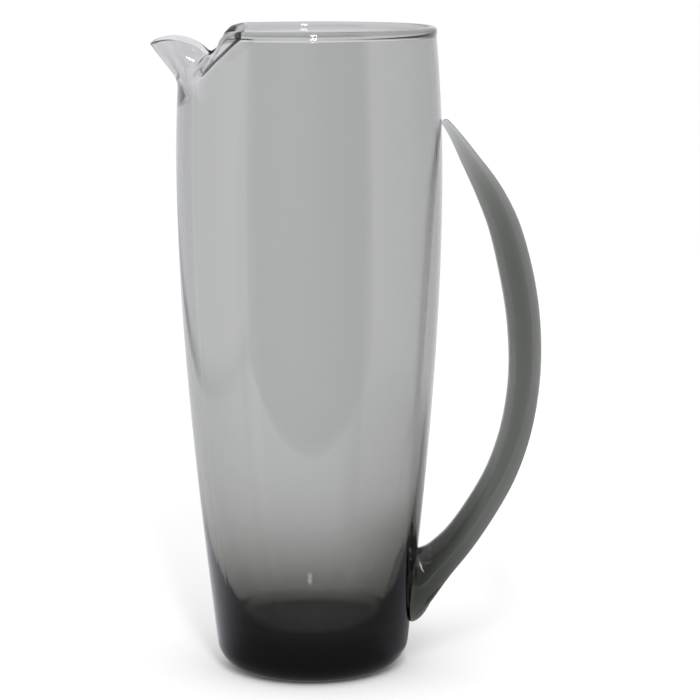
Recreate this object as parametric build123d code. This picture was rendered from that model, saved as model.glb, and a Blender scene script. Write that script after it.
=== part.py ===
from build123d import *
import math
import os

# A blown smoke-glass cocktail pitcher: a hollow body with a pulled spout and a thick base,
# and a solid glass handle that is applied to its wall.
# Frame: millimetres, +Z up, origin on the body's axis at the table, spout towards -X, handle towards +X.

# Driving dimensions: the blown body
RIM_HEIGHT = 267.0
BASE_DIAMETER = 77.8
BELLY_DIAMETER = 109.1
RIM_DIAMETER = 103.6
NECK_HEIGHT = 60.0
BASE_LEAN = 0.113
RIM_LEAN = -0.09
BASE_CORNER = 12.0
WALL = 2.4
FLOOR_HEIGHT = 13.0
FLOOR_CORNER = 30.0
RIM_ROUND = 0.8

# Driving dimensions: the pulled spout, an oval channel that leans out from its root
SPOUT_REACH = 12.7
SPOUT_ROOT_DROP = 21.4
SPOUT_TIP_DROP = 6.3
SPOUT_LIP_WIDTH = 41.6
SPOUT_ROOT_WIDTH = 48.0
SPOUT_DEPTH = 35.0

# Driving dimensions: the flat pinch at each side of the throat
THROAT_WIDTH = 37.0
THROAT_DROP = 10.0
THROAT_INSET = 11.8
PINCH_RIM_ANGLE = 57.0
PINCH_ROOT_ANGLE = 32.0

# Driving dimensions: the applied handle
HANDLE_THICKNESS = 13.7
HANDLE_STANDOFF = 37.5
HANDLE_TIP_DROP = 39.6
HANDLE_FOOT_HEIGHT = 20.0
TIP_ROUND = 1.1

# The rim's line over the spout, seen from the side: distance from the axis as a share of the rim's
# radius, then the drop below the flat rim as a share of the drop at the tip.
RIM_LINE = [
    (0.575, 0.00),
    (0.635, 0.15),
    (0.675, 0.58),
    (0.715, 1.20),
    (0.777, 1.57),
    (0.850, 1.22),
    (0.960, 0.80),
    (1.080, 0.68),
    (1.170, 0.78),
    (1.250, 1.00),
    (1.340, 1.45),
]

# The handle's stations from tip to foot: height as a share of the way up from foot to tip, stand-off
# of the middle line from the wall as a share of the largest one, then thickness in the side view and
# breadth across as shares of the handle's thickness.
HANDLE_STATIONS = [
    (1.000, 0.047, 0.24, 0.26),
    (0.987, 0.100, 0.29, 0.32),
    (0.926, 0.307, 0.56, 0.58),
    (0.866, 0.504, 0.80, 0.82),
    (0.807, 0.659, 0.93, 0.95),
    (0.716, 0.816, 1.02, 1.03),
    (0.595, 0.955, 1.02, 1.03),
    (0.473, 1.000, 0.98, 1.00),
    (0.351, 0.925, 0.97, 1.00),
    (0.289, 0.826, 0.97, 1.02),
    (0.228, 0.672, 0.98, 1.06),
    (0.157, 0.440, 1.03, 1.22),
    (0.101, 0.187, 1.20, 1.50),
    (0.054, 0.020, 1.24, 1.62),
    (0.018, -0.070, 1.10, 1.50),
    (0.000, -0.220, 0.80, 1.20),
]

# Where the spout's channel starts inside the wall and ends above the rim's line, as shares of the way from
# its root to its tip
CHANNEL_ENDS = (-0.3, 1.6)

BELLY_HEIGHT = RIM_HEIGHT - NECK_HEIGHT
SPOUT_ROOT = RIM_HEIGHT - SPOUT_ROOT_DROP
SPOUT_TIP = RIM_HEIGHT - SPOUT_TIP_DROP
OVERRUN = SPOUT_TIP_DROP


def wall_line(inset):
    """The wall's curve from base to rim, moved inwards by inset, as the points of two Bezier curves."""
    base = BASE_DIAMETER / 2 - inset
    belly = BELLY_DIAMETER / 2 - inset
    rim = RIM_DIAMETER / 2 - inset
    lower = [
        (base, 0),
        (base + BASE_LEAN * BELLY_HEIGHT / 3, BELLY_HEIGHT / 3),
        (belly, BELLY_HEIGHT * 2 / 3),
        (belly, BELLY_HEIGHT),
    ]
    upper = [
        (belly, BELLY_HEIGHT),
        (belly, BELLY_HEIGHT + NECK_HEIGHT / 3),
        (rim - RIM_LEAN * NECK_HEIGHT / 3, RIM_HEIGHT - NECK_HEIGHT / 3),
        (rim, RIM_HEIGHT),
    ]
    return lower, upper


def wall_radius(z):
    """Outer radius of the round wall at height z."""
    lower, upper = wall_line(0.0)
    points = lower if z <= BELLY_HEIGHT else upper
    share = (z - points[0][1]) / (points[3][1] - points[0][1])
    rest = 1 - share
    weights = (rest ** 3, 3 * rest ** 2 * share, 3 * rest * share ** 2, share ** 3)
    return sum(weight * point[0] for weight, point in zip(weights, points))


def turned(inset, bottom, corner):
    """The round form inside the wall's curve, from bottom up past the rim, with a rounded lower corner."""
    lower, upper = wall_line(inset)
    rim = upper[3][0]
    top = RIM_HEIGHT + OVERRUN
    with BuildSketch(Plane.XZ) as sketch:
        with BuildLine():
            Bezier(*lower)
            Bezier(*upper)
            Polyline(upper[3], (rim + RIM_LEAN * OVERRUN, top), (0, top), (0, 0), lower[0])
        make_face()
        if bottom > 0:
            with Locations((BELLY_DIAMETER / 2, bottom / 2)):
                Rectangle(BELLY_DIAMETER, bottom, mode=Mode.SUBTRACT)
    solid = revolve(sketch.sketch, Axis.Z)
    bottom_edge = solid.edges().filter_by(GeomType.CIRCLE).sort_by(Axis.Z)[0]
    return fillet(bottom_edge, corner)


def beak(inset):
    """The spout's channel: a leaning cone of oval sections, moved inwards by inset."""
    root_reach = wall_radius(SPOUT_ROOT)
    tip_reach = wall_radius(SPOUT_TIP) + SPOUT_REACH
    faces = []
    for share in CHANNEL_ENDS:
        reach = root_reach + (tip_reach - root_reach) * share
        width = SPOUT_ROOT_WIDTH + (SPOUT_LIP_WIDTH - SPOUT_ROOT_WIDTH) * share
        oval = Ellipse(width / 2 - inset, SPOUT_DEPTH / 2 - inset, rotation=90)
        z = SPOUT_ROOT + (SPOUT_TIP - SPOUT_ROOT) * share
        faces.append(Pos(SPOUT_DEPTH / 2 - reach, 0, z) * oval)
    return loft(faces, ruled=True)


def pinch(inset):
    """The glass that the pinches take off beside the throat: all beyond a slanted plane at each side."""
    rim_turn = math.radians(PINCH_RIM_ANGLE)
    root_turn = math.radians(PINCH_ROOT_ANGLE)
    rim = wall_radius(RIM_HEIGHT)
    root = wall_radius(SPOUT_ROOT)
    at_rim = Vector(-rim * math.cos(rim_turn), rim * math.sin(rim_turn), RIM_HEIGHT)
    at_root = Vector(-root * math.cos(root_turn), root * math.sin(root_turn), SPOUT_ROOT)
    at_throat = Vector(THROAT_INSET - rim, THROAT_WIDTH / 2, RIM_HEIGHT - THROAT_DROP)
    outwards = (at_root - at_rim).cross(at_throat - at_rim).normalized()
    size = BELLY_DIAMETER
    cut_face = Plane(origin=at_throat - outwards * inset, z_dir=outwards)
    beyond = cut_face * Pos(0, 0, size / 2) * Box(size, size, size)
    one_side = beyond & Pos(-size / 2, size / 2, RIM_HEIGHT) * Box(size, size, size)
    return one_side + mirror(one_side, Plane.XZ)


def vessel(inset, bottom, corner):
    """The body's whole form with its pinched throat and spout, moved inwards by inset."""
    return turned(inset, bottom, corner) - pinch(inset) + beak(inset)


def rim_cutter():
    """Everything above the rim's line."""
    radius = RIM_DIAMETER / 2
    line = [(-share * radius, RIM_HEIGHT - drop * SPOUT_TIP_DROP) for share, drop in RIM_LINE]
    far = 2 * radius
    top = RIM_HEIGHT + far
    with BuildSketch(Plane.XZ) as sketch:
        with BuildLine():
            wave = Spline(*line, tangents=[(-1, 0), (-1, -1)], tangent_scalars=[1, 1])
            Polyline(wave @ 1, (-far, line[-1][1]), (-far, top), (far, top), (far, RIM_HEIGHT), wave @ 0)
        make_face()
    return extrude(Pos(0, far, 0) * sketch.sketch, 2 * far)


def pitcher_body(outer):
    """The blown body: hollowed out, cut along its rim and rounded all along the round part of the rim."""
    solid = outer - vessel(WALL, FLOOR_HEIGHT, FLOOR_CORNER) - rim_cutter()
    round_rim = solid.edges().filter_by(GeomType.CIRCLE).filter_by_position(Axis.Z, RIM_HEIGHT, RIM_HEIGHT)
    return fillet(round_rim, RIM_ROUND)


def handle_rod():
    """The handle as a full rod, running on into the body at its foot."""
    rise = RIM_HEIGHT - HANDLE_TIP_DROP - HANDLE_FOOT_HEIGHT
    centres = []
    for level, standoff, _, _ in HANDLE_STATIONS:
        z = HANDLE_FOOT_HEIGHT + level * rise
        centres.append(Vector(wall_radius(z) + standoff * HANDLE_STANDOFF, 0, z))
    path = Edge.make_spline(centres)
    faces = []
    for centre, (_, _, thickness, breadth) in zip(centres, HANDLE_STATIONS):
        plane = Plane(origin=centre, x_dir=(0, 1, 0), z_dir=path.tangent_at(centre))
        faces.append(plane * Ellipse(breadth * HANDLE_THICKNESS / 2, thickness * HANDLE_THICKNESS / 2))
    rod = loft(faces)
    tip_edge = rod.edges().sort_by(Axis.Z)[-1]
    return fillet(tip_edge, TIP_ROUND)


outer_form = vessel(0.0, 0.0, BASE_CORNER)
pieces = {
    "pitcher_body": pitcher_body(outer_form),
    "applied_handle": handle_rod() - outer_form,
}

os.makedirs("parts", exist_ok=True)
for name, solid in pieces.items():
    print(name, round(solid.volume), [round(value, 2) for value in solid.bounding_box().size])
    export_step(solid, "parts/" + name + ".step")
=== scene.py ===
"""Builds the look of a blown smoke-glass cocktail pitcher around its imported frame."""

import math

import bmesh
import bpy
import numpy as np
from bpy.props import FloatProperty, FloatVectorProperty, PointerProperty
from mathutils import Matrix, Vector


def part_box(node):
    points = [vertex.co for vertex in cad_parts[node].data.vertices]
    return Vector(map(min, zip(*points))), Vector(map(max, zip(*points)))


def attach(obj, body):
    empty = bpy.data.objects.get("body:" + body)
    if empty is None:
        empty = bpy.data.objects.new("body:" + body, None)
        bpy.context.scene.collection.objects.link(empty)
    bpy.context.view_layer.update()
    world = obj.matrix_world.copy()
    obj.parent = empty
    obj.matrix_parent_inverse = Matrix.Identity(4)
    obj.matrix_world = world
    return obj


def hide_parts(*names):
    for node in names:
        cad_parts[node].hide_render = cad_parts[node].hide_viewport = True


bl_info = {
    "name": "Smoke Glass Pitcher",
    "version": (1, 0, 0),
    "blender": (4, 5, 0),
    "location": "View3D > Sidebar > Pitcher",
    "description": "Builds a blown cocktail pitcher with a pulled spout and an applied handle",
    "category": "Object",
}

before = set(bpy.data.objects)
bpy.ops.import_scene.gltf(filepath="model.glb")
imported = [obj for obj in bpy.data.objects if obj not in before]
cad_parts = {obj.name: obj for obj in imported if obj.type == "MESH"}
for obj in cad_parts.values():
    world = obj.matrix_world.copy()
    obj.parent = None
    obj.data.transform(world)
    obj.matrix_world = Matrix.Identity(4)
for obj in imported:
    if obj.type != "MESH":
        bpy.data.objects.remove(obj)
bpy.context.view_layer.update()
BODY_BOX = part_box("pitcher_body")

# How the glass is pulled out at the spout, as shares of its reach: share of the way round from the
# spout's middle to the fold of the pinch, pull outwards, pull sideways away from the middle.
SPOUT_PULL = (
    (0.000, 1.00, 0.00),
    (0.276, 0.92, 0.17),
    (0.517, 0.71, 0.21),
    (0.724, 0.40, 0.16),
    (0.862, 0.16, 0.07),
    (1.000, 0.00, 0.00),
)

# The rim's line over the spout, seen from the side: distance from the axis as a share of the rim's
# radius, then the drop below the flat rim as a share of the drop at the tip.
RIM_LINE = (
    (0.000, 0.00),
    (0.400, 0.00),
    (0.560, 0.00),
    (0.600, 0.05),
    (0.635, 0.15),
    (0.655, 0.29),
    (0.675, 0.58),
    (0.700, 1.00),
    (0.730, 1.36),
    (0.765, 1.57),
    (0.790, 1.56),
    (0.825, 1.35),
    (0.890, 1.04),
    (0.950, 0.83),
    (1.080, 0.68),
    (1.170, 0.78),
    (1.250, 1.00),
    (1.340, 1.45),
)

# The handle's stations from tip to foot: height as a share of the way up from foot to tip, stand-off
# of the middle line from the wall as a share of the largest one, then thickness in the side view and
# breadth across as shares of the handle's thickness.
HANDLE_STATIONS = (
    (1.000, 0.047, 0.24, 0.26),
    (0.987, 0.100, 0.29, 0.32),
    (0.926, 0.307, 0.56, 0.58),
    (0.866, 0.504, 0.80, 0.82),
    (0.807, 0.659, 0.93, 0.95),
    (0.716, 0.816, 1.02, 1.03),
    (0.595, 0.955, 1.02, 1.03),
    (0.473, 1.000, 0.98, 1.00),
    (0.351, 0.925, 0.97, 1.00),
    (0.289, 0.826, 0.97, 1.02),
    (0.228, 0.672, 0.98, 1.06),
    (0.157, 0.440, 1.03, 1.22),
    (0.101, 0.187, 1.20, 1.50),
    (0.054, 0.020, 1.24, 1.62),
    (0.018, -0.070, 1.10, 1.50),
    (0.000, -0.220, 0.80, 1.20),
)

# The pinch beside the spout, by the spout's growth: where it sets in, half the length of its soft
# start, the growth that it takes to be full, and how much of it there is at most.
PINCH_START = 0.2
PINCH_SOFTNESS = 0.15
PINCH_GROWTH = 0.555
PINCH_MOST = 1.1

# Only the last part of the way from the spout's middle to the fold is pushed in, and more so near the
# fold.
FOLD_START = 0.70
FOLD_POWER = 1.5

# The spout's growth at which the shoulder stops moving away from it.
SHOULDER_END = 1.2

# Angles from the spout's middle: where the thin lip starts to swell and where it has become the full
# bead.
LIP_END = math.radians(36.0)
FULL_BEAD = math.radians(44.0)

# Angle beyond the shoulder over which the spout's thin wall grows back to the full one.
THIN_WALL_FADE = math.radians(10.0)

# A ring's points are close-set by the spout, up to an angle from its middle, and wide-set elsewhere.
# The easing of the folds fades over the last of the close-set ones.
CLOSE_SET_END = math.radians(70.0)
CLOSE_STEP = math.radians(0.5)
WIDE_STEP = math.radians(2.0)
EASING_FADE = math.radians(4.0)

# Height over which the rim's bead runs out into the wall, in full beads: along the lip and along the
# round rim.
LIP_RUN_OUT = 3.0
ROUND_RUN_OUT = 0.55

# Numbers of the body's rings: round each rounded edge, level ones, ones that bend up to the rim's line
# and ones that follow it.
EDGE_RINGS = 14
LEVEL_RINGS = 60
BENDING_RINGS = 46
RIM_RINGS = 16

# The level rings end this many root drops of the spout below the rim, and the bending ones this many
# beads below its crest. The power sets the bending ones closer together towards the rim.
LEVEL_END = 3.4
BENDING_END = 2.2
BENDING_POWER = 1.25

# Rings across the underside and the inside floor, as shares of the way out from the middle. The floor's
# take over from the wall's at a share of the way up from the floor to the bowl's height.
UNDERSIDE_SHARES = (0.25, 0.5, 0.75, 0.92)
FLOOR_SHARES = (0.985, 0.965, 0.94, 0.91, 0.875, 0.83, 0.78, 0.72, 0.64, 0.54, 0.42, 0.28, 0.14)
FLOOR_JOIN = 0.3

# Numbers of the handle's points and rings: along its middle line, round it, over its tip, along its
# grip and along its foot, which starts at a share of its length. Rings across the weld are shares of
# the way out from its middle.
ROD_POINTS = 1200
ROD_SIDES = 64
TIP_RINGS = 8
GRIP_RINGS = 70
FOOT_RINGS = 60
FOOT_START = 0.8
WELD_SHARES = (0.94, 0.8, 0.6, 0.4, 0.2)

# How far the weld's flare reaches down past the two sides of the foot, as the sine of the angle.
FLARE_DIP = 0.3

# Faint lines left in the glass by blowing and drawing: waves for each metre along X, Y and Z.
BLOWN_LINES = (70.0, 70.0, 5.0)
DRAWN_LINES = (60.0, 60.0, 8.0)

# Parts of the studio by direction, as one part of a unit vector: -1 is straight to the camera or the
# spout, and 1 is straight to the backdrop, to the handle or up. Each part sets in or runs out over a
# stretch. The shaded front, the handle's side and the backdrop's dimming carry painted shade, and the
# spout's side carries painted light.
OPEN_FRONT = (-0.61, -0.54)
PAINTED_SHADE_FRONT = (-0.60, 0.90)
HANDLE_SIDE = (0.30, 0.80)
SPOUT_SIDE = (-0.90, -0.80)
PAINTED_BACKDROP_DIMMING = (-0.030, 0.045)
HORIZON = (0.02, 0.08)
FRONT_TOP = (0.60, 0.85)

# The sheet on the floor, in metres from the pitcher's axis, with painted shade where the glass shows it: the
# painted contact shadow under the base, the painted shadow beside the handle, the painted slow dimming
# towards the handle, the painted shadow in front and the painted shade along the handle's side.
PAINTED_CONTACT_SHADOW = (0.036, 0.047)
PAINTED_SHADOW_ACROSS = (0.0, 0.09)
PAINTED_SHADOW_OUTWARDS = (0.10, 0.30)
PAINTED_SHEET_DIMMING = (-0.040, 0.055)
PAINTED_SHADE_OUTWARDS = (0.045, 0.240)
PAINTED_SIDE_START = (0.038, 0.05)
PAINTED_SIDE_OUTWARDS = (0.36, 0.60)

# Softness of the sheet's edge in front and at the spout's side, and width of the dim band beyond that
# side.
FRONT_SOFTNESS = 0.004
SPOUT_SOFTNESS = 0.012
EDGE_BAND = 0.15

# The floor's half width and its distance below the base, then the softbox's place, aim and size.
FLOOR_REACH = 40.0
FLOOR_GAP = 0.0002
SOFTBOX_PLACE = (0.07, -0.85, 0.80)
SOFTBOX_AIM = (0.0, 0.0, 0.15)
SOFTBOX_SIZE = (0.10, 0.60)


class PitcherBodySettings(bpy.types.PropertyGroup):
    """Sizes of the blown body."""

    rim_height: FloatProperty(
        name="Rim height",
        description="Height of the flat rim above the table",
        default=BODY_BOX[1].z,
        unit="LENGTH",
    )
    base_diameter: FloatProperty(
        name="Base diameter",
        description="Width of the wall's line at the table",
        default=0.0778,
        unit="LENGTH",
    )
    belly_diameter: FloatProperty(
        name="Belly diameter",
        description="Largest width of the body",
        default=0.1091,
        unit="LENGTH",
    )
    rim_diameter: FloatProperty(
        name="Rim diameter",
        description="Width across the rim",
        default=0.1036,
        unit="LENGTH",
    )
    neck_height: FloatProperty(
        name="Neck height",
        description="Distance from the widest place up to the rim",
        default=0.060,
        unit="LENGTH",
    )
    base_lean: FloatProperty(
        name="Base lean",
        description="Slope of the wall at the table",
        default=0.113,
    )
    rim_lean: FloatProperty(
        name="Rim lean",
        description="Slope of the wall at the rim",
        default=-0.09,
    )
    base_corner: FloatProperty(
        name="Base corner",
        description="Radius of the round corner at the table",
        default=0.012,
        unit="LENGTH",
    )
    wall: FloatProperty(
        name="Wall",
        description="Thickness of the blown wall",
        default=0.00242,
        unit="LENGTH",
    )
    wall_gain: FloatProperty(
        name="Wall gain",
        description="Extra thickness of the wall carried down to the table",
        default=0.0215,
        unit="LENGTH",
    )
    wall_fade: FloatProperty(
        name="Wall fade",
        description="Height over which the extra thickness falls to a third",
        default=0.020,
        unit="LENGTH",
    )
    floor_height: FloatProperty(
        name="Floor height",
        description="Height of the inside floor at the middle",
        default=0.0140,
        unit="LENGTH",
    )
    bowl_height: FloatProperty(
        name="Bowl height",
        description="Height at which the rounded inside floor runs out into the wall",
        default=0.0215,
        unit="LENGTH",
    )
    bowl_radius: FloatProperty(
        name="Bowl radius",
        description="Radius of the rounded inside floor at that height",
        default=0.034,
        unit="LENGTH",
    )
    rim_bead: FloatProperty(
        name="Rim bead",
        description="Thickness of the fire-polished rim",
        default=0.0038,
        unit="LENGTH",
    )
    rim_swell: FloatProperty(
        name="Rim swell",
        description="Share of the rim's bead that stands proud of the outside",
        default=0.3,
    )
    lip: FloatProperty(
        name="Lip",
        description="Thickness of the spout's lip",
        default=0.0014,
        unit="LENGTH",
    )
    spout_thinning: FloatProperty(
        name="Spout thinning",
        description="Share of the wall's thickness lost where the spout is pulled out",
        default=0.4,
    )
    spout_reach: FloatProperty(
        name="Spout reach",
        description="How far the spout's tip stands out from the wall",
        default=0.0127,
        unit="LENGTH",
    )
    spout_root_drop: FloatProperty(
        name="Spout root drop",
        description="Distance from the rim down to the spout's root",
        default=0.0214,
        unit="LENGTH",
    )
    spout_tip_drop: FloatProperty(
        name="Spout tip drop",
        description="Distance from the rim down to the spout's tip",
        default=0.0063,
        unit="LENGTH",
    )
    spout_bend: FloatProperty(
        name="Spout bend",
        description="Half the height of the bend at the spout's root",
        default=0.0030,
        unit="LENGTH",
    )
    fold_angle: FloatProperty(
        name="Fold angle",
        description="Angle of the pinch's fold from the spout's middle",
        default=math.radians(29.0),
        subtype="ANGLE",
    )
    shoulder_root: FloatProperty(
        name="Shoulder root",
        description="Angle of the pinch's shoulder at the spout's root",
        default=math.radians(32.0),
        subtype="ANGLE",
    )
    shoulder_rise: FloatProperty(
        name="Shoulder rise",
        description="Angle that the shoulder gains from the root to the tip's height",
        default=math.radians(21.0),
        subtype="ANGLE",
    )
    pinch_inwards: FloatProperty(
        name="Pinch inwards",
        description="How far the fold is pushed in towards the handle",
        default=0.0058,
        unit="LENGTH",
    )
    pinch_sideways: FloatProperty(
        name="Pinch sideways",
        description="How far the fold is pushed towards the spout's middle",
        default=0.0081,
        unit="LENGTH",
    )
    tint: FloatVectorProperty(
        name="Tint",
        description="Colour of the light that the glass lets through",
        default=(0.200, 0.2154, 0.1385),
        subtype="COLOR",
        min=0.0,
        max=1.0,
    )
    density: FloatProperty(
        name="Density",
        description="Strength of the tint for each metre of glass",
        default=162.5,
    )


class PitcherHandleSettings(bpy.types.PropertyGroup):
    """Sizes of the applied handle."""

    thickness: FloatProperty(
        name="Thickness",
        description="Thickness of the rod",
        default=0.0137,
        unit="LENGTH",
    )
    standoff: FloatProperty(
        name="Stand-off",
        description="Largest distance of the middle line from the wall",
        default=0.0375,
        unit="LENGTH",
    )
    tip_drop: FloatProperty(
        name="Tip drop",
        description="Distance from the rim down to the handle's tip",
        default=0.0396,
        unit="LENGTH",
    )
    foot_height: FloatProperty(
        name="Foot height",
        description="Height of the lowest station above the table",
        default=0.020,
        unit="LENGTH",
    )
    weld_gap: FloatProperty(
        name="Weld gap",
        description="Clear space between the foot and the wall",
        default=0.00003,
        unit="LENGTH",
    )
    weld_flare: FloatProperty(
        name="Weld flare",
        description="How far the foot's upper side spreads where it meets the wall",
        default=0.003,
        unit="LENGTH",
    )
    weld_tuck: FloatProperty(
        name="Weld tuck",
        description="How far the foot's lower end is rounded off at the wall",
        default=0.0016,
        unit="LENGTH",
    )
    weld_height: FloatProperty(
        name="Weld height",
        description="Distance from the wall over which the foot changes",
        default=0.0055,
        unit="LENGTH",
    )
    tint: FloatVectorProperty(
        name="Tint",
        description="Colour of the light that the glass lets through",
        default=(0.200, 0.220, 0.158),
        subtype="COLOR",
        min=0.0,
        max=1.0,
    )
    density: FloatProperty(
        name="Density",
        description="Strength of the tint for each metre of glass",
        default=176.0,
    )


class PitcherStageSettings(bpy.types.PropertyGroup):
    """The studio round the pitcher."""

    floor_colour: FloatVectorProperty(
        name="Floor colour",
        description="Colour of the pale floor",
        default=(0.96, 0.96, 0.96),
        subtype="COLOR",
        min=0.0,
        max=1.0,
    )
    room_light: FloatProperty(
        name="Room light",
        description="Level of the even light in the studio",
        default=1.045,
    )
    glass_light: FloatVectorProperty(
        name="Light in the glass",
        description="Colour of the white studio as the glass shows it",
        default=(0.937, 0.932, 1.0),
        subtype="COLOR",
        min=0.0,
        max=1.0,
    )
    front_level: FloatProperty(
        name="Front level",
        description="Brightness of the studio's open front as the glass mirrors it",
        default=0.04,
    )
    # Painted shadow round the base, in what the glass mirrors
    painted_shade_level: FloatProperty(
        name="Shade level",
        description="Brightness of the sheet beside the base as the glass mirrors it",
        default=0.2,
    )
    # Painted shade at the handle's side
    painted_side_shade_level: FloatProperty(
        name="Side level",
        description="Brightness of the studio beside the handle as the glass mirrors it",
        default=0.8,
    )
    # Painted light at the spout's side
    painted_spout_side_light_level: FloatProperty(
        name="Spout side level",
        description="Brightness of the studio beside the spout as the glass mirrors it",
        default=1.3,
    )
    # Painted shade on the sheet at the handle's side
    painted_floor_side_shade_level: FloatProperty(
        name="Floor side level",
        description="Brightness of the sheet beside the handle as the glass mirrors it",
        default=0.3,
    )
    edge_level: FloatProperty(
        name="Edge level",
        description="Brightness just beyond the sheet's edge at the spout's side",
        default=0.35,
    )
    # Painted shade towards the handle's side, in what the glass shows through it
    painted_dimming_level: FloatProperty(
        name="Far level",
        description="Brightness of the backdrop at the handle's side, seen through the glass",
        default=0.94,
    )
    # Painted shadow beside the handle, in what the glass shows through it
    painted_shadow_level: FloatProperty(
        name="Cast level",
        description="Brightness of the sheet in the shadow beside the handle, seen through the glass",
        default=0.4,
    )
    sheet_width: FloatProperty(
        name="Sheet width",
        description="How far the sheet reaches at the spout's side",
        default=0.45,
        unit="LENGTH",
    )
    sheet_depth: FloatProperty(
        name="Sheet depth",
        description="How far the sheet reaches in front",
        default=0.298,
        unit="LENGTH",
    )
    lamp_power: FloatProperty(
        name="Lamp power",
        description="Power of the tall softbox",
        default=4.5,
        unit="POWER",
    )
    camera_lens: FloatProperty(
        name="Lens",
        description="Focal length on a 36 mm sensor, in millimetres",
        default=138.23,
    )
    camera_pitch: FloatProperty(
        name="Pitch",
        description="How far the camera looks down",
        default=math.radians(9.3717),
        subtype="ANGLE",
    )
    camera_yaw: FloatProperty(
        name="Yaw",
        description="How far the camera looks towards the handle",
        default=math.radians(0.8469),
        subtype="ANGLE",
    )
    camera_roll: FloatProperty(
        name="Roll",
        description="How far the camera leans",
        default=math.radians(-0.2686),
        subtype="ANGLE",
    )
    camera_place: FloatVectorProperty(
        name="Place",
        description="Where the camera stands",
        default=(0.0, -1.10004, 0.315016),
        subtype="XYZ",
        unit="LENGTH",
    )


class PitcherSettings(bpy.types.PropertyGroup):
    """All settings of the pitcher."""

    body: PointerProperty(type=PitcherBodySettings)
    handle: PointerProperty(type=PitcherHandleSettings)
    stage: PointerProperty(type=PitcherStageSettings)


def smooth_line(rows, column, at):
    """A smooth curve through one column of a table of rows, read at many places."""
    knots = np.array([row[0] for row in rows], float)
    values = np.array([row[column] for row in rows], float)
    slopes = np.gradient(values, knots)
    at = np.clip(at, knots[0], knots[-1])
    left = np.clip(np.searchsorted(knots, at, side="right") - 1, 0, len(knots) - 2)
    right = left + 1
    width = knots[right] - knots[left]
    share = (at - knots[left]) / width
    rest = 1 - share
    start = (1 + 2 * share) * rest ** 2 * values[left] + share * rest ** 2 * width * slopes[left]
    end = share ** 2 * (3 - 2 * share) * values[right] + share ** 2 * (share - 1) * width * slopes[right]
    return start + end


def smooth_step(low, high, at):
    """0 below low, 1 above high and a smooth rise between them."""
    share = np.clip((at - low) / (high - low), 0.0, 1.0)
    return share * share * (3 - 2 * share)


def bent_ramp(rise, bend):
    """0 below -bend, rise itself above bend and a round bend between them."""
    curved = (rise + bend) ** 2 / (4 * bend)
    return np.where(rise < -bend, 0.0, np.where(rise > bend, rise, curved))


def bezier(points, share):
    """A Bezier curve with four points, read at shares of the way."""
    rest = 1 - share
    weights = (rest ** 3, 3 * rest ** 2 * share, 3 * rest * share ** 2, share ** 3)
    return sum(weight * point for weight, point in zip(weights, points))


def unit(vectors):
    """The same vectors at length one."""
    return vectors / np.linalg.norm(vectors, axis=-1, keepdims=True)


def eased(points, rounds):
    """Rings of points with their corners rounded a little along each ring."""
    for _ in range(rounds):
        points = points / 2 + (np.roll(points, 1, axis=1) + np.roll(points, -1, axis=1)) / 4
    return points


def axis_distance(points):
    """Distance of points from the pitcher's axis."""
    return np.hypot(points[..., 0], points[..., 1])


def level_ring(angle, radius, height):
    """A round ring of points at one height, for angles from the spout's middle."""
    return np.stack([-radius * np.cos(angle), radius * np.sin(angle), np.full_like(angle, height)], axis=-1)


def wall_radius(body, z):
    """Outer radius of the round wall at height z."""
    belly_height = body.rim_height - body.neck_height
    base = body.base_diameter / 2
    belly = body.belly_diameter / 2
    rim = body.rim_diameter / 2
    near_base = base + body.base_lean * belly_height / 3
    near_rim = rim - body.rim_lean * body.neck_height / 3
    z = np.asarray(z, float)
    lower = bezier((base, near_base, belly, belly), np.minimum(z / belly_height, 1.0))
    upper = bezier((belly, belly, near_rim, rim), np.maximum((z - belly_height) / body.neck_height, 0.0))
    return np.where(z <= belly_height, lower, upper)


def wall_thickness(body, z):
    """Thickness of the wall at height z, growing downwards into the rounded inside floor."""
    radius = wall_radius(body, z)
    wall = radius - body.wall - body.wall_gain * np.exp(-z / body.wall_fade)
    rise = np.maximum(z - body.floor_height, 0.0) / (body.bowl_height - body.floor_height)
    bowl = body.bowl_radius * np.cbrt(rise)
    # The smaller of the two radii, with a soft run from one to the other
    blend = body.wall / 3
    inside = (wall + bowl) / 2 - np.sqrt(((wall - bowl) / 2) ** 2 + blend ** 2)
    # High above the bowl the wall alone counts
    return radius - np.where(bowl < body.belly_diameter, inside, wall)


def spout_growth(body, z):
    """How far the spout has grown at height z: 0 at its root and 1 at its tip."""
    root = body.rim_height - body.spout_root_drop
    length = body.spout_root_drop - body.spout_tip_drop
    return bent_ramp(z - root, body.spout_bend) / length


def shoulder_angle(body, growth):
    """Angle from the spout's middle at which the pinch runs out into the round wall."""
    return body.shoulder_root + body.shoulder_rise * np.minimum(growth, SHOULDER_END)


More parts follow.
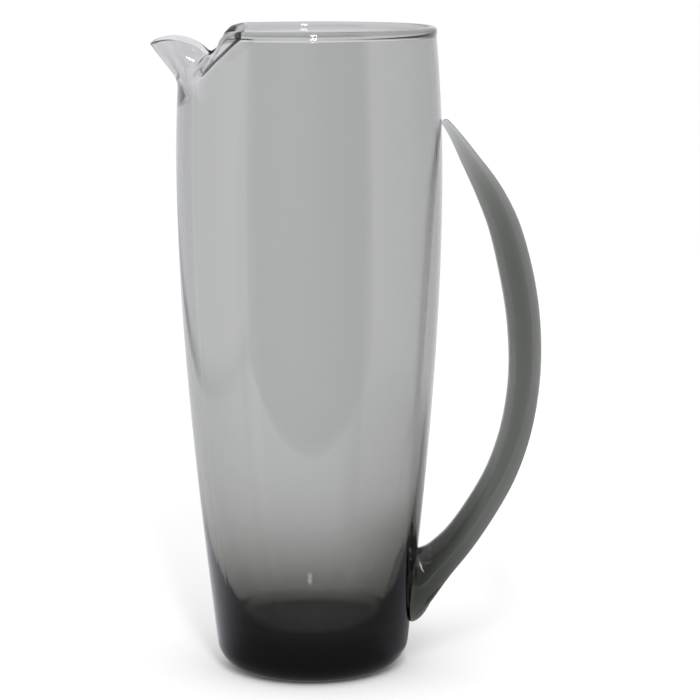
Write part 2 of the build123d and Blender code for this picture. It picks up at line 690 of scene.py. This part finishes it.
def wall_points(body, angle, z):
    """Points of the outer wall at angles from the spout's middle, pulled and pinched at the spout."""
    radius = wall_radius(body, z)
    growth = spout_growth(body, z)
    turn = np.abs(angle)
    fold = body.fold_angle
    shoulder = shoulder_angle(body, growth)

    # The spout from its middle to the fold
    share = np.minimum(turn / fold, 1.0)
    ahead = np.minimum(turn, fold)
    pull = growth * body.spout_reach
    pinched = np.minimum(bent_ramp(growth - PINCH_START, PINCH_SOFTNESS) / PINCH_GROWTH, PINCH_MOST)
    pinched = pinched * np.clip((share - FOLD_START) / (1 - FOLD_START), 0.0, 1.0) ** FOLD_POWER
    x = -radius * np.cos(ahead) - smooth_line(SPOUT_PULL, 1, share) * pull + pinched * body.pinch_inwards
    y = radius * np.sin(ahead) + smooth_line(SPOUT_PULL, 2, share) * pull - pinched * body.pinch_sideways

    # The flat side of the pinch from the fold to the shoulder
    across = np.clip((turn - fold) / (shoulder - fold), 0.0, 1.0)
    x = x + (-radius * np.cos(shoulder) - x) * across
    y = y + (radius * np.sin(shoulder) - y) * across

    # The round wall beyond the shoulder
    x = np.where(turn > shoulder, -radius * np.cos(turn), x)
    y = np.where(turn > shoulder, radius * np.sin(turn), y)
    return np.stack(np.broadcast_arrays(x, np.sign(angle) * y, z), axis=-1)


def rim_heights(body, angle):
    """Height of the rim's crest at each angle, settled in rounds because the wall leans over the spout."""
    rounds = 60
    heights = np.full(angle.shape, body.rim_height)
    for _ in range(rounds):
        share = np.maximum(-wall_points(body, angle, heights)[:, 0] / (body.rim_diameter / 2), 0.0)
        wanted = body.rim_height - smooth_line(RIM_LINE, 1, share) * body.spout_tip_drop
        heights = (heights + wanted) / 2
    return heights


def ring_angles():
    """Angles of a ring's points from the spout's middle, close-set by the spout."""
    near = np.arange(0.0, CLOSE_SET_END - CLOSE_STEP / 2, CLOSE_STEP)
    far = np.arange(CLOSE_SET_END, math.pi - WIDE_STEP / 2, WIDE_STEP)
    half = np.concatenate([near, far])
    return np.concatenate([-half[:0:-1], half, [math.pi]])


def base_rings(body, angle):
    """Rings of the underside and the round corner at the table, and the height where the wall starts."""
    corner = body.base_corner
    lean = math.atan(body.base_lean)
    flat_radius = body.base_diameter / 2 + body.base_lean * corner - corner / math.cos(lean)
    rings = [level_ring(angle, flat_radius * share, 0.0) for share in UNDERSIDE_SHARES]
    for turn in np.linspace(0.0, math.pi / 2 - lean, EDGE_RINGS, endpoint=False):
        radius = flat_radius + corner * math.sin(turn)
        rings.append(level_ring(angle, radius, corner - corner * math.cos(turn)))
    return rings, corner - corner * math.sin(lean)


def ring_heights(body, bottom, level_top, crest, top):
    """Heights of the wall's rings: level ones, ones that bend to the rim's line and ones that follow it."""
    level = np.linspace(bottom, level_top, LEVEL_RINGS, endpoint=False)[:, None]
    bending = np.linspace(0.0, 1.0, BENDING_RINGS, endpoint=False)[:, None]
    following = np.linspace(0.0, 1.0, RIM_RINGS)[:, None]
    neck = crest - BENDING_END * body.rim_bead
    return np.concatenate([
        np.repeat(level, len(crest), axis=1),
        level_top + (neck - level_top) * (1 - (1 - bending) ** BENDING_POWER),
        neck + (top - neck) * following,
    ])


def spout_loss(body, angle, levels):
    """How much of the wall's thickness is lost where the spout is pulled out, starting below its root."""
    root = body.rim_height - body.spout_root_drop
    shoulder = shoulder_angle(body, spout_growth(body, levels))
    drawn = smooth_step(root - body.spout_root_drop / 2, root, levels)
    beside = smooth_step(shoulder, shoulder + THIN_WALL_FADE, np.abs(angle))
    return body.wall * body.spout_thinning * drawn * (1 - beside)


def wall_rings(body, angle, bottom):
    """Rings of the outer and the inner wall up to the rim's bead, and the ways out and up at the bead."""
    turn = np.abs(angle)
    round_part = smooth_step(LIP_END, FULL_BEAD, turn)
    bead = body.lip + (body.rim_bead - body.lip) * round_part
    run_out = body.rim_bead * (LIP_RUN_OUT + (ROUND_RUN_OUT - LIP_RUN_OUT) * round_part)
    crest = rim_heights(body, angle)
    level_top = body.rim_height - LEVEL_END * body.spout_root_drop
    levels = ring_heights(body, bottom, level_top, crest, crest - bead / 2)

    # Easing would pull wide-set points off the round, so it is kept to the close-set ones
    by_spout = (1 - smooth_step(CLOSE_SET_END - EASING_FADE, CLOSE_SET_END, turn))[None, :, None]
    outer = wall_points(body, angle[None, :], levels)
    outer = outer + (eased(outer, rounds=1) - outer) * by_spout
    around = np.roll(outer, -1, axis=1) - np.roll(outer, 1, axis=1)
    upwards = np.gradient(outer, axis=0)
    outwards = unit(np.cross(upwards, around))
    outwards = unit(outwards + (eased(outwards, rounds=3) - outwards) * by_spout)

    lost = spout_loss(body, angle, levels)
    bulge = (bead - body.wall + lost) * (1 - smooth_step(0.0, run_out, crest - levels - bead / 2))
    thickness = wall_thickness(body, levels) - lost + bulge
    outer = outer + outwards * (body.rim_swell * bulge)[..., None]
    level_ways = unit(outwards * (1.0, 1.0, 0.0))
    inner = outer - np.where((levels < level_top)[..., None], level_ways, outwards) * thickness[..., None]
    return outer, inner, outwards[-1], unit(upwards[-1])


def bead_rings(outer_edge, inner_edge, outwards, upwards):
    """Rings of the half-round top of the rim's bead, from the outer wall over to the inner one."""
    middle = (outer_edge + inner_edge) / 2
    half_bead = np.linalg.norm(outer_edge - inner_edge, axis=-1, keepdims=True) / 2
    turns = np.linspace(0.0, math.pi, EDGE_RINGS)[1:-1]
    return [middle + half_bead * (outwards * math.cos(turn) + upwards * math.sin(turn)) for turn in turns]


def inside_rings(body, angle, inner):
    """Rings of the inside, from the rim down the wall and on over the floor, which starts at its slope."""
    join = body.floor_height + FLOOR_JOIN * (body.bowl_height - body.floor_height)
    first = int(np.argmax(inner[:, 0, 2] >= join))
    rings = list(inner[:first - 1:-1])
    radius, radius_above = axis_distance(inner[first:first + 2]).mean(axis=1)
    height, height_above = inner[first:first + 2, :, 2].mean(axis=1)
    slope = (height_above - height) / (radius_above - radius)
    depth = height - body.floor_height
    power = slope * radius / depth
    for share in FLOOR_SHARES:
        rings.append(level_ring(angle, radius * share, body.floor_height + depth * share ** power))
    return rings


def body_rings(body):
    """The body's closed surface as rings of points, from under the base over the rim to the inside floor."""
    angle = ring_angles()
    rings, corner_top = base_rings(body, angle)
    outer, inner, outwards, upwards = wall_rings(body, angle, corner_top)
    rings.extend(outer)
    rings.extend(bead_rings(outer[-1], inner[-1], outwards, upwards))
    rings.extend(inside_rings(body, angle, inner))
    return rings, np.zeros(3), np.array((0.0, 0.0, body.floor_height))


def rod_lines(body, handle):
    """Lines of points along the rod from its tip to its foot, and the rod's way and radius at the tip."""
    rows = np.array(HANDLE_STATIONS)
    z = handle.foot_height + rows[:, 0] * (body.rim_height - handle.tip_drop - handle.foot_height)
    x = wall_radius(body, z) + rows[:, 1] * handle.standoff
    along = np.concatenate([[0.0], np.cumsum(np.hypot(np.diff(x), np.diff(z)))])
    table = np.column_stack([along, x, z, rows[:, 2:] * handle.thickness / 2])
    fine = np.linspace(0.0, along[-1], ROD_POINTS)
    centre_x, centre_z, depth, breadth = [smooth_line(table, column, fine) for column in (1, 2, 3, 4)]
    middle = np.zeros_like(fine)
    centre = np.stack([centre_x, middle, centre_z], axis=-1)
    way = unit(np.gradient(centre, axis=0))
    side = np.stack([way[:, 2], middle, -way[:, 0]], axis=-1)
    across = np.array((0.0, 1.0, 0.0))
    turns = np.linspace(0.0, 2 * math.pi, ROD_SIDES, endpoint=False)
    sideways = side[:, None, :] * (depth[:, None] * np.cos(turns))[..., None]
    lines = centre[:, None, :] + sideways + across * (breadth[:, None] * np.sin(turns))[..., None]
    return lines, way[0], depth[0]


def rod_rings(body, handle, lines):
    """Rings of the rod down to the wall, where each line of points is cut off."""
    clear = axis_distance(lines) - wall_radius(body, lines[..., 2]) - handle.weld_gap
    # The tip stands close to the wall too, so the cut is looked for in the lower half
    half = len(lines) // 2
    line = np.arange(lines.shape[1])
    hit = half + np.argmax(clear[half:] < 0, axis=0)
    before = clear[hit - 1, line]
    after = clear[hit, line]
    ends = hit - 1 + before / (before - after)

    grip = np.linspace(0.0, FOOT_START, GRIP_RINGS, endpoint=False)
    foot = np.linspace(FOOT_START, 1.0, FOOT_RINGS)
    rings = []
    for share in np.concatenate([grip, foot]):
        place = share * ends
        low = np.minimum(place.astype(int), len(lines) - 2)
        part = (place - low)[:, None]
        rings.append(lines[low, line] * (1 - part) + lines[low + 1, line] * part)
    return rings


def shape_weld(body, handle, rings):
    """Spread the foot's upper side on the wall and round off its lower end."""
    weld_middle = rings[-1].mean(axis=0)
    for ring in rings[len(rings) // 2:]:
        height = axis_distance(ring) - wall_radius(body, ring[:, 2])
        near_wall = np.clip(1 - height / handle.weld_height, 0.0, 1.0)
        away = ring - weld_middle
        away[:, 0] = 0.0
        away = unit(away)
        flare = handle.weld_flare * near_wall ** 2 * np.clip(away[:, 2] + FLARE_DIP, 0.0, 1.0)
        tuck = handle.weld_tuck * (1 - np.sqrt(1 - near_wall ** 2)) * np.clip(-away[:, 2], 0.0, 1.0)
        ring += away * (flare - tuck)[:, None]
        limit = wall_radius(body, ring[:, 2]) + handle.weld_gap
        ring[:, :2] *= np.maximum(limit / axis_distance(ring), 1.0)[:, None]


def weld_rings(body, handle, edge):
    """Rings of the foot's face on the wall, inwards from its edge, and the point at its middle."""
    middle = edge.mean(axis=0)
    rings = []
    for share in (*WELD_SHARES, 0.0):
        ring = middle + (edge - middle) * share
        limit = wall_radius(body, ring[:, 2]) + handle.weld_gap
        ring[:, 0] = np.sqrt(limit ** 2 - ring[:, 1] ** 2)
        rings.append(ring)
    return rings[:-1], rings[-1][0]


def tip_rings(edge, way, radius):
    """Rings of the handle's rounded tip, and the point at its top."""
    middle = edge.mean(axis=0)
    rings = []
    for turn in np.linspace(0.0, math.pi / 2, TIP_RINGS)[1:-1]:
        rings.append(middle + (edge - middle) * math.sin(turn) - way * radius * math.cos(turn))
    return rings, middle - way * radius


def handle_rings(body, handle):
    """The handle's closed surface as rings of points, from its tip down to its weld on the wall."""
    lines, tip_way, tip_radius = rod_lines(body, handle)
    rod = rod_rings(body, handle, lines)
    shape_weld(body, handle, rod)
    tip, tip_pole = tip_rings(rod[0], tip_way, tip_radius)
    weld, weld_pole = weld_rings(body, handle, rod[-1])
    return tip + rod + weld, tip_pole, weld_pole


def skin(name, rings, first_pole, last_pole):
    """A closed smooth mesh object over rings of points, with a point at each end."""
    count = len(rings[0])
    points = np.concatenate([[first_pole], *rings, [last_pole]])
    last_ring = 1 + (len(rings) - 1) * count
    faces = []
    for j in range(count):
        after = (j + 1) % count
        faces.append((0, 1 + after, 1 + j))
        for low in range(1, last_ring, count):
            faces.append((low + j, low + after, low + count + after, low + count + j))
        faces.append((last_ring + j, last_ring + after, len(points) - 1))
    mesh = bpy.data.meshes.new(name)
    mesh.from_pydata(points.tolist(), [], faces)
    mesh.update()
    work = bmesh.new()
    work.from_mesh(mesh)
    bmesh.ops.recalc_face_normals(work, faces=work.faces)
    for face in work.faces:
        face.smooth = True
    work.to_mesh(mesh)
    work.free()
    piece = bpy.data.objects.new(name, mesh)
    bpy.context.scene.collection.objects.link(piece)
    return piece


def smoke_glass(name, tint, density, lines):
    """Smoke glass: a clear polished shader, a tint through its depth and the faint lines of its making."""
    material = bpy.data.materials.new(name)
    material.use_nodes = True
    nodes = material.node_tree.nodes
    links = material.node_tree.links
    nodes.clear()
    output = nodes.new("ShaderNodeOutputMaterial")
    shader = nodes.new("ShaderNodeBsdfPrincipled")
    shader.inputs["Base Color"].default_value = (1.0, 1.0, 1.0, 1.0)
    shader.inputs["Roughness"].default_value = 0.0
    shader.inputs["IOR"].default_value = 1.5
    shader.inputs["Transmission Weight"].default_value = 1.0
    depth = nodes.new("ShaderNodeVolumeAbsorption")
    depth.inputs["Color"].default_value = (*tint, 1.0)
    depth.inputs["Density"].default_value = density
    links.new(shader.outputs["BSDF"], output.inputs["Surface"])
    links.new(depth.outputs["Volume"], output.inputs["Volume"])

    place = nodes.new("ShaderNodeTexCoord")
    stretch = nodes.new("ShaderNodeMapping")
    stretch.inputs["Scale"].default_value = lines
    links.new(place.outputs["Object"], stretch.inputs["Vector"])
    noise = nodes.new("ShaderNodeTexNoise")
    noise.inputs["Scale"].default_value = 1.0
    noise.inputs["Detail"].default_value = 2.0
    links.new(stretch.outputs["Vector"], noise.inputs["Vector"])
    wave = nodes.new("ShaderNodeBump")
    wave.inputs["Strength"].default_value = 0.25
    wave.inputs["Distance"].default_value = 0.0002
    links.new(noise.outputs["Fac"], wave.inputs["Height"])
    links.new(wave.outputs["Normal"], shader.inputs["Normal"])
    return material


def feed(tree, socket, value):
    """Link another socket to a node's socket, or set a number on it."""
    if isinstance(value, bpy.types.NodeSocket):
        tree.links.new(value, socket)
    else:
        socket.default_value = value


def math_node(tree, operation, first, *others):
    """Sockets or numbers joined one after another by the same operation."""
    result = first
    for other in others:
        node = tree.nodes.new("ShaderNodeMath")
        node.operation = operation
        feed(tree, node.inputs[0], result)
        feed(tree, node.inputs[1], other)
        result = node.outputs["Value"]
    return result


def product(tree, *factors):
    """Sockets or numbers multiplied together."""
    return math_node(tree, "MULTIPLY", *factors)


def ramp_node(tree, value, stretch, start, end):
    """A smooth ramp from start to end while value goes over a stretch."""
    node = tree.nodes.new("ShaderNodeMapRange")
    node.interpolation_type = "SMOOTHSTEP"
    node.inputs["From Min"].default_value = stretch[0]
    node.inputs["From Max"].default_value = stretch[1]
    node.inputs["To Min"].default_value = start
    node.inputs["To Max"].default_value = end
    tree.links.new(value, node.inputs["Value"])
    return node.outputs["Result"]


def split_vector(tree, vector):
    """The X, Y and Z of a vector socket."""
    parts = tree.nodes.new("ShaderNodeSeparateXYZ")
    tree.links.new(vector, parts.inputs["Vector"])
    return parts.outputs["X"], parts.outputs["Y"], parts.outputs["Z"]


def studio_sides(tree, x, y):
    """Open front, painted-shade front, handle's and spout's sides of the studio, and distance from the axis.
    """
    squares = math_node(tree, "ADD", product(tree, x, x), product(tree, y, y))
    # The distance is never quite nothing, so that it can be divided by
    outwards = math_node(tree, "MAXIMUM", math_node(tree, "SQRT", squares, 0.0), 0.0001)
    ahead = math_node(tree, "DIVIDE", y, outwards)
    sideways = math_node(tree, "DIVIDE", x, outwards)
    front = ramp_node(tree, ahead, OPEN_FRONT, 1.0, 0.0)
    shaded = ramp_node(tree, ahead, PAINTED_SHADE_FRONT, 1.0, 0.0)
    handle_side = ramp_node(tree, sideways, HANDLE_SIDE, 0.0, 1.0)
    spout_side = ramp_node(tree, sideways, SPOUT_SIDE, 1.0, 0.0)
    return front, shaded, handle_side, spout_side, outwards


def light_of(tree, kind, colour, level):
    """A plain glow of one colour: an emission on the floor or a background in the world."""
    node = tree.nodes.new(kind)
    node.inputs["Color"].default_value = (*colour, 1.0)
    feed(tree, node.inputs["Strength"], level)
    return node.outputs[0]


def shown_to(tree, ray, shader, before):
    """One shader for a kind of ray, and the one before it for every other ray."""
    mix = tree.nodes.new("ShaderNodeMixShader")
    tree.links.new(ray, mix.inputs["Fac"])
    tree.links.new(before, mix.inputs[1])
    tree.links.new(shader, mix.inputs[2])
    return mix.outputs["Shader"]


def shown_in_glass(tree, path, kind, colour, through, mirrored, before):
    """The shader before, with its own levels for what is seen through the glass and mirrored in it."""
    reflected = math_node(tree, "MINIMUM", path.outputs["Glossy Depth"], 1.0)
    behind = light_of(tree, kind, colour, through)
    seen_through = shown_to(tree, path.outputs["Is Transmission Ray"], behind, before)
    return shown_to(tree, reflected, light_of(tree, kind, colour, mirrored), seen_through)


def sheet_through(tree, stage, x, outwards):
    """Level of the sheet seen through the glass: painted shadow under the base and beside the handle."""
    # Painted shadow of the pitcher on the sheet beside the handle
    shadow = product(
        tree,
        ramp_node(tree, x, PAINTED_SHADOW_ACROSS, 0.0, 1.0),
        ramp_node(tree, outwards, PAINTED_SHADOW_OUTWARDS, 1.0 - stage.painted_shadow_level, 0.0),
    )
    # Painted shade: the sheet darker towards the handle's side
    painted_dimming = ramp_node(tree, x, PAINTED_SHEET_DIMMING, 1.0, stage.painted_dimming_level)
    # Painted contact shadow: the sheet dark under the base
    painted_contact_shadow = ramp_node(tree, outwards, PAINTED_CONTACT_SHADOW, 0.0, 1.0)
    return product(tree, painted_contact_shadow, painted_dimming, math_node(tree, "SUBTRACT", 1.0, shadow))


def sheet_mirrored(tree, stage, x, y, sides):
    """Level of the sheet mirrored in the glass: painted shade in front and beside the handle, dark beyond its
    edges.
    """
    front, shaded, handle_side, spout_side, outwards = sides
    front_end = -stage.sheet_depth
    spout_end = -stage.sheet_width
    beyond = ramp_node(tree, y, (front_end - FRONT_SOFTNESS, front_end + FRONT_SOFTNESS), 1.0, 0.0)
    beside = ramp_node(tree, x, (spout_end - SPOUT_SOFTNESS, spout_end + SPOUT_SOFTNESS), 1.0, 0.0)

    # Painted shadow of the pitcher on the sheet round the base, except behind it
    painted_shade = product(tree, shaded, ramp_node(tree, outwards, PAINTED_SHADE_OUTWARDS, 1.0 - stage.painted_shade_level, 0.0))
    opening = product(tree, beyond, front, 1.0 - stage.front_level)
    band = ramp_node(tree, x, (spout_end - EDGE_BAND, spout_end), 0.0, 1.0 - stage.edge_level)
    edge = product(tree, beside, band)
    # Painted shade on the sheet at the handle's side, deeper close to the base
    painted_shade_by_reach = ramp_node(tree, outwards, PAINTED_SIDE_OUTWARDS, 1.0 - stage.painted_floor_side_shade_level, 1.0 - stage.painted_side_shade_level)
    painted_handle_side_shade = product(tree, handle_side, ramp_node(tree, outwards, PAINTED_SIDE_START, 0.0, 1.0), painted_shade_by_reach)
    dark = math_node(tree, "MAXIMUM", painted_shade, painted_handle_side_shade, opening, edge)
    # Painted light: the sheet brighter at the spout's side
    painted_spout_side_light = product(tree, spout_side, beside, stage.painted_spout_side_light_level - 1.0)
    return math_node(tree, "SUBTRACT", math_node(tree, "ADD", 1.0, painted_spout_side_light), dark)


def floor_material(stage):
    """A plain pale sheet, with its own levels and painted light and shade where the glass shows it."""
    material = bpy.data.materials.new("pale_floor")
    material.use_nodes = True
    tree = material.node_tree
    tree.nodes.clear()
    output = tree.nodes.new("ShaderNodeOutputMaterial")
    paper = tree.nodes.new("ShaderNodeBsdfDiffuse")
    paper.inputs["Color"].default_value = (*stage.floor_colour, 1.0)
    path = tree.nodes.new("ShaderNodeLightPath")
    place = tree.nodes.new("ShaderNodeNewGeometry")
    x, y, _ = split_vector(tree, place.outputs["Position"])
    sides = studio_sides(tree, x, y)
    mirrored = sheet_mirrored(tree, stage, x, y, sides)
    through = sheet_through(tree, stage, x, sides[-1])
    shader = shown_in_glass(
        tree, path, "ShaderNodeEmission", stage.glass_light, through, mirrored, paper.outputs["BSDF"])
    tree.links.new(shader, output.inputs["Surface"])
    return material


def studio_levels(tree, stage):
    """Levels of the studio round the sheet, seen through and mirrored in the glass, with painted light and
    shade.
    """
    direction = tree.nodes.new("ShaderNodeTexCoord")
    x, y, z = split_vector(tree, direction.outputs["Generated"])
    front, _, handle_side, spout_side, _ = studio_sides(tree, x, y)
    opening = product(tree, front, ramp_node(tree, z, FRONT_TOP, 1.0, 0.0), 1.0 - stage.front_level)
    # Painted shade: the studio darker at the handle's side
    painted_handle_side_shade = product(tree, handle_side, 1.0 - stage.painted_side_shade_level)
    # Painted light: the studio brighter at the spout's side
    painted_spout_side_light = product(tree, spout_side, stage.painted_spout_side_light_level - 1.0)
    dark = math_node(tree, "MAXIMUM", opening, painted_handle_side_shade)
    mirrored = math_node(tree, "SUBTRACT", math_node(tree, "ADD", 1.0, painted_spout_side_light), dark)
    raised_opening = product(tree, opening, ramp_node(tree, z, HORIZON, 0.0, 1.0))
    # Painted shade: the studio seen through the glass darker towards the handle's side
    painted_dimming = ramp_node(tree, x, PAINTED_BACKDROP_DIMMING, 1.0, stage.painted_dimming_level)
    through = product(tree, painted_dimming, math_node(tree, "SUBTRACT", 1.0, raised_opening))
    return through, mirrored


def studio_world(stage):
    """Even light, a white background, and its own levels with painted light and shade where the glass shows
    it.
    """
    white = (1.0, 1.0, 1.0)
    kind = "ShaderNodeBackground"
    world = bpy.data.worlds.new("studio")
    world.use_nodes = True
    tree = world.node_tree
    tree.nodes.clear()
    output = tree.nodes.new("ShaderNodeOutputWorld")
    path = tree.nodes.new("ShaderNodeLightPath")
    through, mirrored = studio_levels(tree, stage)
    room = light_of(tree, kind, white, stage.room_light)
    shader = shown_in_glass(tree, path, kind, stage.glass_light, through, mirrored, room)
    shader = shown_to(tree, path.outputs["Is Camera Ray"], light_of(tree, kind, white, 1.0), shader)
    tree.links.new(shader, output.inputs["Surface"])
    return world


def lay_floor(scene, stage):
    """A wide level floor just under the base."""
    mesh = bpy.data.meshes.new("pale_floor")
    corners = [(-1, -1), (1, -1), (1, 1), (-1, 1)]
    mesh.from_pydata([(x * FLOOR_REACH, y * FLOOR_REACH, 0.0) for x, y in corners], [], [(0, 1, 2, 3)])
    floor = bpy.data.objects.new("pale_floor", mesh)
    floor.location.z = -FLOOR_GAP
    scene.collection.objects.link(floor)
    floor.data.materials.append(floor_material(stage))


def hang_softbox(scene, stage):
    """A tall soft lamp that makes the small highlights on the glass."""
    light = bpy.data.lights.new("tall_softbox", "AREA")
    light.shape = "RECTANGLE"
    light.size, light.size_y = SOFTBOX_SIZE
    light.energy = stage.lamp_power
    lamp = bpy.data.objects.new("tall_softbox", light)
    lamp.location = SOFTBOX_PLACE
    aim = Vector(SOFTBOX_AIM) - lamp.location
    lamp.rotation_euler = aim.to_track_quat("-Z", "Y").to_euler()
    scene.collection.objects.link(lamp)


def set_camera(scene, stage):
    """The camera, turned by its yaw, then tipped by its pitch, then leaned by its roll."""
    lens = bpy.data.cameras.new("photo_camera")
    lens.sensor_width = 36.0
    lens.lens = stage.camera_lens
    lens.clip_end = 100.0
    camera = bpy.data.objects.new("photo_camera", lens)
    yaw = stage.camera_yaw
    pitch = stage.camera_pitch
    roll = stage.camera_roll
    right = Vector((math.cos(yaw), -math.sin(yaw), 0.0))
    forward = Vector((math.sin(yaw) * math.cos(pitch), math.cos(yaw) * math.cos(pitch), -math.sin(pitch)))
    up = right.cross(forward)
    leaned_right = right * math.cos(roll) + up * math.sin(roll)
    leaned_up = up * math.cos(roll) - right * math.sin(roll)
    turn = Matrix((leaned_right, leaned_up, -forward)).transposed()
    camera.matrix_world = Matrix.Translation(Vector(stage.camera_place)) @ turn.to_4x4()
    scene.collection.objects.link(camera)
    scene.camera = camera


class PITCHER_OT_blow_body(bpy.types.Operator):
    """Blow the body with its thick base, spout and rim"""

    bl_idname = "pitcher.blow_body"
    bl_label = "Blow Body"

    def execute(self, context):
        body = context.scene.pitcher.body
        rings, base_pole, floor_pole = body_rings(body)
        piece = skin("blown_body", rings, base_pole, floor_pole)
        glass = smoke_glass("smoke_glass_body", body.tint, body.density, BLOWN_LINES)
        piece.data.materials.append(glass)
        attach(piece, "root")
        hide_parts("pitcher_body")
        return {"FINISHED"}


class PITCHER_OT_apply_handle(bpy.types.Operator):
    """Draw the solid handle and set its foot on the wall"""

    bl_idname = "pitcher.apply_handle"
    bl_label = "Apply Handle"

    def execute(self, context):
        body = context.scene.pitcher.body
        handle = context.scene.pitcher.handle
        rings, tip_pole, weld_pole = handle_rings(body, handle)
        piece = skin("drawn_handle", rings, tip_pole, weld_pole)
        glass = smoke_glass("smoke_glass_handle", handle.tint, handle.density, DRAWN_LINES)
        piece.data.materials.append(glass)
        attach(piece, "root")
        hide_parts("applied_handle")
        return {"FINISHED"}


class PITCHER_OT_set_stage(bpy.types.Operator):
    """Set the floor, the light and the camera"""

    bl_idname = "pitcher.set_stage"
    bl_label = "Set Stage"

    def execute(self, context):
        scene = context.scene
        stage = scene.pitcher.stage
        scene.view_settings.view_transform = "Standard"
        # Light goes through many faces of glass before it leaves the pitcher
        scene.cycles.max_bounces = 40
        scene.cycles.transmission_bounces = 40
        scene.cycles.glossy_bounces = 32
        scene.world = studio_world(stage)
        lay_floor(scene, stage)
        hang_softbox(scene, stage)
        set_camera(scene, stage)
        return {"FINISHED"}


class PITCHER_PT_panel(bpy.types.Panel):
    """Sizes, colours and steps of the pitcher"""

    bl_idname = "PITCHER_PT_panel"
    bl_label = "Smoke Glass Pitcher"
    bl_space_type = "VIEW_3D"
    bl_region_type = "UI"
    bl_category = "Pitcher"

    def draw(self, context):
        settings = context.scene.pitcher
        for title, group, step in (
            ("Body", settings.body, PITCHER_OT_blow_body),
            ("Handle", settings.handle, PITCHER_OT_apply_handle),
            ("Stage", settings.stage, PITCHER_OT_set_stage),
        ):
            box = self.layout.box()
            box.label(text=title)
            for name in group.__annotations__:
                box.prop(group, name)
            box.operator(step.bl_idname)


CLASSES = (
    PitcherBodySettings,
    PitcherHandleSettings,
    PitcherStageSettings,
    PitcherSettings,
    PITCHER_OT_blow_body,
    PITCHER_OT_apply_handle,
    PITCHER_OT_set_stage,
    PITCHER_PT_panel,
)


def register():
    for cls in CLASSES:
        bpy.utils.register_class(cls)
    bpy.types.Scene.pitcher = PointerProperty(type=PitcherSettings)


def unregister():
    del bpy.types.Scene.pitcher
    for cls in reversed(CLASSES):
        bpy.utils.unregister_class(cls)


def main():
    register()
    bpy.ops.pitcher.blow_body()
    bpy.ops.pitcher.apply_handle()
    bpy.ops.pitcher.set_stage()


if __name__ == "__main__":
    main()
